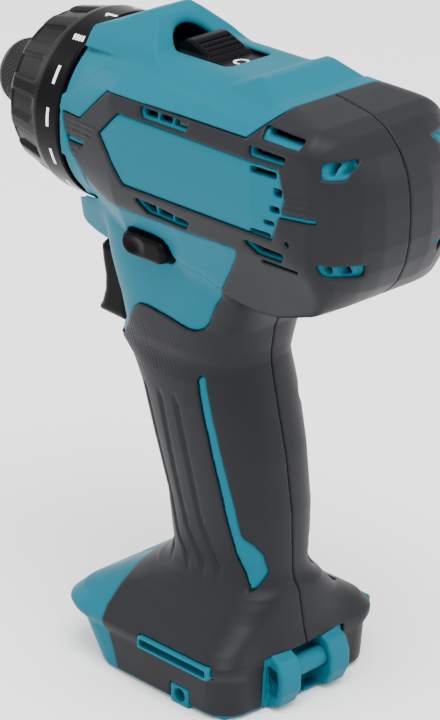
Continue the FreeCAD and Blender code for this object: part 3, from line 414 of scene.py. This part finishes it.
def vents(x, y, z, side):
    """The vents as plain holes, and the same holes with their webs left standing."""
    cut = np.full(1, 9.0, dtype=np.float32)
    web_cut = cut
    for outline, cells in VENTS:
        hole = np.maximum(side(outline), 14 - y)
        cut = np.minimum(cut, hole)
        left, right = min(p[0] for p in outline), max(p[0] for p in outline)
        for k in range(1, cells):
            web = left + (right - left) * k / cells
            hole = np.maximum(hole, WEB_HALF - np.abs(x - web))
        web_cut = np.minimum(web_cut, hole)
    for x0, x1, z0, z1 in CASTLES:
        web_cut = np.minimum(web_cut, box(x, y, z, x0, x1, 15, 40, z0, z1))
    return cut, web_cut


def housing():
    x, y, z = axes(LOW, HIGH, H)
    x2, z2 = x[:, 0, :], z[0]
    d = body_form(x, y, z)

    def side(points):
        return polygon(points, x2, z2)[:, None, :]

    # where the top cover and the bare plastic lie
    nose = np.sqrt(y ** 2 + (z - AX) ** 2)
    cover = union(side(COVER), intersection(side(COLLAR), x - RING_REAR, nose - NOSE_ROOM_R))
    beak_edge = 16.6 - 0.2 * np.maximum(y - 5, 0) - 0.3 * np.maximum(14.5 - z, 0)
    teal = union(
        np.maximum(side(WINDOW), 20 - y),
        side(PANEL),
        np.maximum(side(STRIP), 4 - y),
        np.maximum(beak_edge - x, z - 30),
        box(x, y, z, 21.2, 28.5, 20, 40, 154.9, 156.2),          # bar in the front ribs
        box(x, y, z, -63.8, -53.6, 20, 40, 154.8, 155.8))        # thin line behind the window
    teal = union(
        np.minimum(teal, z - 1.3),
        box(x, y, z, -60, -34.0, -2, 15.4, -2, 16.6),            # strap loops
        box(x, y, z, -21.9, -14.5, 24, 40, -2, 6.1),             # clip boss
        box(x, y, z, -32.2, -4.1, 28.0, 40, 13.9, 17.6))         # hook rim

    # openings
    cut, web_cut = vents(x, y, z, side)
    bay = box(x, y, z, -29, 60, -30, 24.5, -10, 13, 1.0)
    mouth = np.maximum(box(x, y, z, 14, 60, -30, 9.2, 95.6, 119.6, 1.5), 14 - x)
    reach = np.maximum(np.abs(x - LEVER[0]) - LEVER_REACH, 0)
    lever = np.maximum(np.sqrt(reach ** 2 + (z - LEVER[1]) ** 2) - LEVER_HOLE_R, 12 - y)
    lamp = np.maximum(np.sqrt(y ** 2 + (z - LAMP_Z) ** 2) - LAMP_BORE_R, 28 - x)
    hook = box(x, y, z, -31.4, -4.9, 29.4, 40, 14.7, 16.8, 0.2)
    clip_hole = np.maximum(np.sqrt((x - CLIP[0]) ** 2 + (z - CLIP[1]) ** 2) - CLIP_HOLE_R, 24 - y)
    strap = box(x, y, z, -60, -33.6, -30, 13.6, 1.6, 16.2, 0.6)
    neck = np.maximum(nose - NECK_R, 20 - x)
    open_all = union(bay, mouth, lever, lamp, neck)

    # soft skin
    flutes, ribs, pebble = relief(x, y, z)
    slit = box(x, y, z, -58.8, -46.0, 20, 40, 140.2, 140.9, 0.1)
    dot = np.sqrt((x + 56.0) ** 2 + (z - 148.0) ** 2) - 0.7 + np.maximum(20 - y, 0)
    skin = smax(d + flutes - ribs + pebble, -(teal - GAP), 0.4)
    skin = smax(skin, -(cover - GAP), 0.5)
    skin = np.maximum(skin, -(d + SKIN))
    skin = smax(skin, -(cut - 0.45), 0.8)
    skin = intersection(skin, -union(slit, dot), -open_all, -strap)
    skin = smax(skin, SEAM - y, 0.35)

    # plastic shell with its rails, walls, strap loops, hook rim and clip boss
    shell = np.maximum(d + SHELL[0], -(d + SHELL[1]))
    raised = smax(np.maximum(d + PLASTIC[0], -(d + PLASTIC[1])), teal, 0.3)
    shell = np.minimum(shell, raised)
    rail = box(x, y, z, -27, 16, 22, 25.5, 2.4, 5.0, 0.3)
    roof = np.maximum(box(x, y, z, -34, 27, -2, 27, 13, 15), d + 1.3)
    wall = box(x, y, z, -33.6, -29.2, -2, 27, 0.0, 16.0)
    rim_wall = box(x, y, z, -32.2, -4.1, 28.0, 32.75, 13.9, 17.6, 0.25)
    loop = smax(side(LOOP), np.abs(y - 9.6) - 3.8, 0.8)
    loop = smax(loop, -np.maximum(side(LOOP_HOLE), 11.2 - y), 0.5)
    boss = box(x, y, z, -21.9, -14.5, 25, 29.7, 0.1, 6.1, 0.25)
    shell = np.maximum(shell, -open_all)
    shell = union(shell, rail, roof, wall)
    shell = smax(shell, -np.minimum(web_cut, cover - 0.12), 0.3)
    shell = np.maximum(shell, -box(x, y, z, -60, -33.6, -30, 5.6, 1.6, 17.0, 0.3))
    shell = np.maximum(shell, -np.maximum(strap, -(loop - 0.01)))
    shell = union(shell, np.maximum(loop, -(z - 0.2)), rim_wall, boss)
    pin_hole = np.sqrt((x - STRAP_PIN[0]) ** 2 + (z - STRAP_PIN[1]) ** 2) - STRAP_PIN_HOLE_R
    shell = np.maximum(shell, -union(hook, clip_hole, np.maximum(pin_hole, y - 12)))
    shell = smax(shell, SEAM - y, 0.3)

    screw_cut = np.full(1, 9.0, dtype=np.float32)
    for sx, sz in SCREWS:
        screw_cut = np.minimum(screw_cut, np.sqrt((x - sx) ** 2 + (z - sz) ** 2) - SCREW_R)
    screw_cut = np.maximum(screw_cut, 9 - y)

    for name, field, mat in (("overmold", skin, SOFT), ("housing", shell, TEAL)):
        verts, faces = surface(field, LOW, H)
        left = relax(new_mesh("shell_" + name + "_left", verts, faces, mat, "housing"))
        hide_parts(name + "_left")
        drilled = smax(field, -screw_cut, 0.4)
        verts, faces = mirrored(*surface(drilled, LOW, H))
        right = relax(new_mesh("shell_" + name + "_right", verts, faces, mat, "housing"))
        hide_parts(name + "_right")


HUMP_FRONT = [(-1, 178), (4.5, 182.4), (11.2, 189.4), (14.2, 190.9), (17.0, 190.2), (23.5, 186.8),
              (31.5, 184.2), (31.5, 178)]
HUMP_REAR = [(-22, 180), (-27.5, 182.5), (-31.5, 184.4), (-34.2, 184.3), (-41.2, 180.6), (-45.5, 176)]


def top_cover():
    step = 0.4
    low, high = (-47.0, -29.2, 128.8), (32.6, 29.4, 192.4)
    x, y, z = axes(low, high, step)
    x2, z2 = x[:, 0, :], z[0]
    ya = np.abs(y)
    d = body_form(x, y, z)
    front = polygon(HUMP_FRONT, x2, z2)[:, None, :]
    front = smax(front, plane_yz(ya, z, (10.5, 191.0), (16.5, 181.2)), 0.6)
    front = smax(front, plane_yz(ya, z, (16.0, 182.5), (23.5, 175.6)), 0.5)
    rear = polygon(HUMP_REAR, x2, z2)[:, None, :]
    rear = smax(rear, plane_yz(ya, z, (12.5, 185.0), (18.5, 178.0)), 0.5)
    d = smin(d, front, 1.0)
    d = smin(d, rear, 0.8)
    nose = np.sqrt(y ** 2 + (z - AX) ** 2)
    region = polygon(COVER, x2, z2)[:, None, :]
    collar = intersection(polygon(COLLAR, x2, z2)[:, None, :], x - HEAD_FRONT, nose - NOSE_ROOM_R)
    cover = smax(d, np.minimum(region, collar), 0.5)
    cover = cover + RIM_STEP * np.clip(polygon(RIM, x2, z2)[:, None, :] / 0.5, 0, 1)
    cover = np.maximum(cover, -(d + 2.4))
    cover = np.maximum(cover, -np.maximum(nose - NECK_R, 20 - x))
    # selector slot: round in front, square behind
    sx = np.where(x > -2, np.maximum(np.abs(x + 2) - 4.3, 0), np.maximum(np.abs(x + 2) - 11.6, 0))
    sy = np.where(x > -2, ya, np.maximum(ya - 6.4, 0))
    slot = np.where(x > -2, np.sqrt(sx ** 2 + sy ** 2) - 8.2, np.sqrt(sx ** 2 + sy ** 2) - 1.8)
    slot = np.maximum(slot, 170 - z)
    cover = smax(cover, -slot, 0.9)
    cover = np.maximum(cover, -box(x, y, z, -24, 18, -10.6, 10.6, 160, 180.7))
    verts, faces = surface(cover, low, step)
    obj = relax(new_mesh("shell_top_cover", verts, faces, TEAL, "housing"))
    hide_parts("top_cover")


PAD = [(-8.9, 178), (-8.9, 180.6), (-7.6, 181.4), (6, 181.4), (10.4, 180.4), (10.4, 178)]
WEDGE = [(-7.6, 180.2), (-6.4, 182.6), (-0.2, 185.0), (2.0, 185.0), (6.4, 181.2), (6.4, 180)]
PLATE_Z = 180.3            # top of the selector's carriage
KNOB_GROOVES = (-5.4, 1.8, 3)    # x of the first, pitch, number


def selector():
    step = 0.22
    low, high = (-16.6, -11.0, 177.4), (18.4, 11.0, 186.6)
    x, y, z = axes(low, high, step)
    x2, z2 = x[:, 0, :], z[0]
    carriage = box(x, y, z, -15.6, 17.2, -9.8, 9.8, 178.1, PLATE_Z, 0.3)
    nose = np.sqrt(np.maximum(x - 2.2, 0) ** 2 + y ** 2) - 7.9
    pad = smax(polygon(PAD, x2, z2)[:, None, :], nose, 0.7)
    wedge = smax(polygon(WEDGE, x2, z2)[:, None, :], np.abs(y) - 6.9, 1.0)
    d = smin(pad, wedge, 0.8)
    first, pitch, grooves = KNOB_GROOVES
    for i in range(grooves):
        gx = first + pitch * i
        gz = 182.6 + (gx + 6.4) * 0.39
        groove = box(x, y, z, gx - 0.42, gx + 0.42, -5.8, 5.8, gz - 0.7, gz + 3, 0.2)
        d = smax(d, -groove, 0.3)
    d = np.minimum(d, carriage)
    verts, faces = surface(d, low, step)
    obj = relax(new_mesh("knob", verts, faces, BLACK, "selector"), 1)
    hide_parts("speed_selector")


TRIGGER_SIDE = [(24.2, 119.0), (34.8, 119.0), (36.4, 117.4), (35.9, 113), (35.0, 108.6), (35.1, 104.4),
                (36.4, 100.4), (37.7, 98.4), (37.0, 96.8), (26.0, 96.2), (24.2, 98.0)]
TRIGGER_HALF = 8.6


def trigger():
    step = 0.3
    low, high = (22.6, -9.6, 94.4), (40.2, 9.8, 120.6)
    x, y, z = axes(low, high, step)
    side = polygon(TRIGGER_SIDE, x[:, 0, :], z[0])[:, None, :]
    d = smax(side, np.abs(y) - TRIGGER_HALF, 3.2)
    hollow = box(x, y, z, 10, 31.5, -7.0, 7.0, 98.6, 117.4, 0.5)
    post = np.sqrt(y ** 2 + (z - 108) ** 2) - 4.0
    d = np.maximum(d, -np.maximum(hollow, -(np.maximum(post, 27 - x))))
    # faint cross grooves on the finger face
    grooves = np.clip(1 - np.abs(np.mod(z - 100, 3.0) - 1.5) / 0.5, 0, 1) * (x > 34) * (np.abs(y) < 5) * 0.18
    verts, faces = surface(d + grooves, low, step)
    obj = relax(new_mesh("trigger_blade", verts, faces, BLACK, "trigger"), 1)
    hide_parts("trigger")


def reverser():
    step = 0.35
    low, high = (-8.8, -25.6, 125.2), (11.4, 25.8, 135.2)
    cx, cz = LEVER
    x, y, z = axes(low, high, step)
    ya = np.abs(y)
    reach = np.maximum(np.abs(x - cx) - LEVER_REACH, 0)
    tilt = 0.10 * np.clip(ya - 20, 0, 5)
    cap = smax(np.sqrt(reach ** 2 + (z - cz) ** 2) - LEVER_R + tilt, ya - LEVER_END, 1.6)
    cap = np.maximum(cap, 14 - ya)
    # finger dish in each end
    dish = np.sqrt(((x - cx - 3) / 1.4) ** 2 + (z - cz) ** 2 + (ya - 27.4) ** 2) - 3.8
    cap = smax(cap, -dish, 0.8)
    stem = box(x, y, z, cx - 4, cx + 4, -15, 15, cz - 2, cz + 2, 0.4)
    verts, faces = surface(np.minimum(cap, stem), low, step)
    obj = relax(new_mesh("reverser_bar", verts, faces, BLACK, "reverser"), 1)
    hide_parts("reversing_bar")


# ---- turned pieces ---------------------------------------------------------------------------
def turned(profile, name, mat, body, count, warp):
    """Closed profile (x, r) spun about the drill axis; warp(x, r, angle) returns a radius."""
    pts = np.array(profile, dtype=np.float64)
    angle = np.arange(count) * 2 * math.pi / count
    px = np.repeat(pts[:, 0][:, None], count, 1)
    pr = np.repeat(pts[:, 1][:, None], count, 1)
    pa = np.repeat(angle[None, :], len(pts), 0)
    pr = warp(px, pr, pa)
    verts = np.stack([px, pr * np.cos(pa), AX + pr * np.sin(pa)], -1).reshape(-1, 3)
    i = np.arange(len(pts))[:, None]
    j = np.arange(count)[None, :]
    n = (i + 1) % len(pts)
    m = (j + 1) % count
    quads = np.stack([i * count + j, n * count + j, n * count + m, i * count + m], -1).reshape(-1, 4)
    a, b, c = verts[quads[:, 0]], verts[quads[:, 1]], verts[quads[:, 2]]
    if np.einsum("ij,ij->", np.cross(a, b), c - np.array([0, 0, AX])) < 0:
        quads = quads[:, ::-1]
    return new_mesh(name, verts, [quads], mat, body)


def dense(points, step):
    """Closed polyline resampled so no edge is longer than step."""
    out = []
    for (ax, ar), (bx, br) in zip(points, points[1:] + points[:1]):
        n = max(1, int(math.hypot(bx - ax, br - ar) / step))
        out += [(ax + (bx - ax) * k / n, ar + (br - ar) * k / n) for k in range(n)]
    return out


MARKS = 14                             # marks and pockets around the torque ring
MARK_TOP = math.radians(82.0)          # angle of the figure 1, from +Y towards +Z
MARK_STEP = 2 * math.pi / MARKS
MARK_R = 26.7                          # radius at which arcs along the marks are measured
PAINT = 0.035                          # height of the marks above the ring
POCKET_FLOOR_R = 22.45
POCKET_DEPTH = 1.15


def torque_ring():
    profile = [(32.0, 24.4), (32.0, 26.5), (32.4, 26.85), (41.2, 26.55), (43.0, 26.1), (54.6, 23.7),
               (55.6, 23.2), (56.3, 22.4), (56.25, 20.6), (55.4, 19.6), (55.05, 18.8), (55.0, 11.6),
               (52.6, 11.6), (52.6, 20.6), (36.0, 20.6), (36.0, 22.2), (51.5, 22.2), (51.5, 22.5),
               (46.0, 23.3), (34.0, 24.4)]

    def warp(px, pr, pa):
        # pockets between the lands, and a fine groove on the land beside each pocket
        wave = np.mod((pa - MARK_TOP) / MARK_STEP + 0.5, 1.0) - 0.5
        edge = np.clip((0.30 - np.abs(wave)) / 0.035, 0, 1)
        along = np.clip((px - 43.0) / 2.2, 0, 1)
        outer = (pr > 22.55) & (px > 42.5)
        flat = POCKET_DEPTH * edge * edge * (3 - 2 * edge) * along * along * (3 - 2 * along)
        pr = np.where(outer, pr - np.minimum(flat, pr - POCKET_FLOOR_R), pr)
        notch = np.exp(-((np.abs(wave) - 0.325) / 0.02) ** 2) * 0.2 * along
        return np.where(outer, pr - np.minimum(notch, pr - 22.4), pr)

    obj = turned(dense(profile, 0.5), "torque_grip", BLACK, "torque_ring", 720, warp)
    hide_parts("torque_ring")
    ticks(obj)


def ring_radius(x):
    return np.interp(x, [32.4, 41.2, 43.0], [26.85, 26.55, 26.1])


def ticks(ring):
    """Painted marks on the rear band of the torque ring: the figure 1, a bit symbol and long ticks."""
    verts, quads = [], []

    def patch(corners):
        """corners: four (x, arc) points in millimetres; the patch follows the ring."""
        n = 6
        base = len(verts)
        (ax, aa), (bx, ba), (cx, ca), (dx, da) = corners
        for i in range(n + 1):
            for j in range(3):
                s, t = i / n, j / 2
                x = (1 - t) * ((1 - s) * ax + s * bx) + t * ((1 - s) * dx + s * cx)
                arc = (1 - t) * ((1 - s) * aa + s * ba) + t * ((1 - s) * da + s * ca)
                angle = arc / MARK_R
                r = float(ring_radius(x)) + PAINT
                verts.append((x, r * math.cos(angle), AX + r * math.sin(angle)))
        for i in range(n):
            for j in range(2):
                corner = base + i * 3 + j
                quads.append((corner, corner + 3, corner + 4, corner + 1))

    def stroke(x0, a0, x1, a1, w=1.0):
        dx, da = x1 - x0, a1 - a0
        length = math.hypot(dx, da) or 1
        nx, na = -da / length * w / 2, dx / length * w / 2
        patch([(x0 + nx, a0 + na), (x1 + nx, a1 + na), (x1 - nx, a1 - na), (x0 - nx, a0 - na)])

    for k in range(MARKS):
        centre = MARK_R * (MARK_TOP - k * MARK_STEP)
        if k == 0:
            stroke(32.6, centre, 36.9, centre, 1.0)
            stroke(36.5, centre + 0.3, 35.6, centre - 1.3, 0.8)
        elif k == 1:
            for i in range(4):
                stroke(33.7 + 1.15 * i, centre - 0.95, 34.5 + 1.15 * i, centre + 0.95, 0.8)
        else:
            stroke(36.1, centre - 2.65, 36.1, centre + 2.65, 1.1)
    obj = new_mesh("ring_marks", verts, [np.array(quads)], WHITE, "torque_ring")


KNURL_R = 9.85
KNURL_COUNT = 44
KNURL_DEPTH = 0.42


def sleeve():
    profile = [(57.6, 8.0), (57.6, 9.2), (58.3, 9.75), (59.6, 9.8), (59.9, 9.45), (60.2, 9.45),
               (60.5, KNURL_R), (74.9, KNURL_R), (75.3, 9.5), (75.6, 9.5), (76.4, 9.3), (77.0, 8.9),
               (77.0, 8.5), (65.0, 8.5), (65.0, 6.36), (61.0, 6.36), (61.0, 8.0)]

    def warp(px, pr, pa):
        lay = KNURL_R * pa
        pitch = 2 * math.pi * KNURL_R / KNURL_COUNT
        a = np.abs(np.mod((lay + px * 0.9) / pitch, 1.0) - 0.5) * 2
        b = np.abs(np.mod((lay - px * 0.9) / pitch, 1.0) - 0.5) * 2
        height = np.clip(np.minimum(a, b) * 1.6, 0, 1)
        zone = (px > 60.6) & (px < 74.8) & (pr > 9.6)
        return np.where(zone, pr - KNURL_DEPTH * (1 - height), pr)

    obj = turned(dense(profile, 0.16), "sleeve_grip", OXIDE, "sleeve", 528, warp)
    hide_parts("bit_sleeve")


def strap_bar():
    profile = [(-11.8, 0.01), (-11.8, 2.7), (-11.5, 3.0), (11.5, 3.0), (11.8, 2.7), (11.8, 0.01)]
    count = 64
    pts = np.array(dense(profile[:-1], 0.8) + [profile[-1]])
    angle = np.arange(count) * 2 * math.pi / count
    cx, cz = STRAP_PIN
    verts = np.array([(cx + r * math.cos(a), y, cz + r * math.sin(a)) for y, r in pts for a in angle])
    i = np.arange(len(pts) - 1)[:, None]
    j = np.arange(count)[None, :]
    m = (j + 1) % count
    here, there = i * count, (i + 1) * count
    quads = np.stack([here + j, here + m, there + m, there + j], -1).reshape(-1, 4)
    obj = new_mesh("strap_pin", verts, [quads], TEAL, "housing")
    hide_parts("strap_bar")


def plate_digits():
    """The figure 2 on the selector's carriage behind the knob; it reads from behind the tool."""
    verts, quads = [], []
    z = PLATE_Z + 0.06
    half = 0.9 / 2
    arc = [(-12.2 + 1.9 * math.sin(t), 1.9 * math.cos(t)) for t in np.linspace(-0.5, math.pi + 0.6, 14)]
    points = arc + [(-15.0, 2.0), (-15.0, -2.0)]
    for (ax, ay), (bx, by) in zip(points, points[1:]):
        dx, dy = bx - ax, by - ay
        length = math.hypot(dx, dy)
        nx, ny = -dy / length * half, dx / length * half
        base = len(verts)
        verts.extend([(ax + nx, ay + ny, z), (bx + nx, by + ny, z),
                      (bx - nx, by - ny, z), (ax - nx, ay - ny, z)])
        quads.append((base, base + 1, base + 2, base + 3))
    obj = new_mesh("selector_figure", verts, [np.array(quads)], WHITE, "selector", smooth=False)


# ---- build -------------------------------------------------------------------------------------
housing()
top_cover()
selector()
trigger()
reverser()
torque_ring()
sleeve()
strap_bar()
plate_digits()

# carried-over parts that show: a fine edge radius
for node in ("housing_screws", "spindle", "stop_ring", "retaining_ring", "lamp_lens", "gear_case",
             "terminal_block"):
    bevel = frame["nodes"][node].modifiers.new("edge", "BEVEL")
    bevel.width = 0.15 * MM
    bevel.segments = 2
    bevel.limit_method = "ANGLE"
    bevel.angle_limit = math.radians(40)


# ---- stage, light, camera -----------------------------------------------------------------------
WORLD_STRENGTH = 1.45
LIGHTS = [                 # name, place in metres, watts, width in metres
    ("key", (-0.5, 0.3, 1.6), 38.0, 0.9), ("fill", (0.3, 1.3, 0.7), 4.0, 0.9),
    ("rear", (-1.1, -0.8, 0.6), 5.0, 0.5), ("front", (1.2, 0.3, 0.6), 4.0, 0.7)]
LIGHT_TARGET = Vector((0, 0, 0.1))
FLOOR_HALF = 3.0


def stage():
    size = FLOOR_HALF
    mesh = bpy.data.meshes.new("floor")
    corners = [(-size, -size, 0), (size, -size, 0), (size, size, 0), (-size, size, 0)]
    mesh.from_pydata(corners, [], [(0, 1, 2, 3)])
    floor = bpy.data.objects.new("floor", mesh)
    bpy.context.scene.collection.objects.link(floor)
    pale = material("floor", (0.96, 0.96, 0.96), 0.8, grain=4.0, relief=0.0, mottle=0.0, spec=0.0)
    floor.data.materials.append(pale)
    world = bpy.data.worlds.new("world")
    world.use_nodes = True
    world.node_tree.nodes["Background"].inputs["Color"].default_value = (1.0, 1.0, 1.0, 1)
    world.node_tree.nodes["Background"].inputs["Strength"].default_value = WORLD_STRENGTH
    bpy.context.scene.world = world
    for name, place, energy, width in LIGHTS:
        light = bpy.data.lights.new(name, "AREA")
        light.energy = energy
        light.size = width
        lamp = bpy.data.objects.new(name, light)
        lamp.location = place
        lamp.rotation_euler = (LIGHT_TARGET - Vector(place)).to_track_quat("-Z", "Y").to_euler()
        bpy.context.scene.collection.objects.link(lamp)


def camera():
    data = bpy.data.cameras.new("camera")
    data.lens = 165.0
    data.sensor_width = 36.0
    data.clip_start = 0.05
    cam = bpy.data.objects.new("camera", data)
    cam.location = (-0.6075, 0.5829, 0.4548)
    view = Vector((0.6602, -0.6376, -0.3971))
    cam.rotation_euler = view.to_track_quat("-Z", "Y").to_euler()
    bpy.context.scene.collection.objects.link(cam)
    bpy.context.scene.camera = cam


stage()
camera()
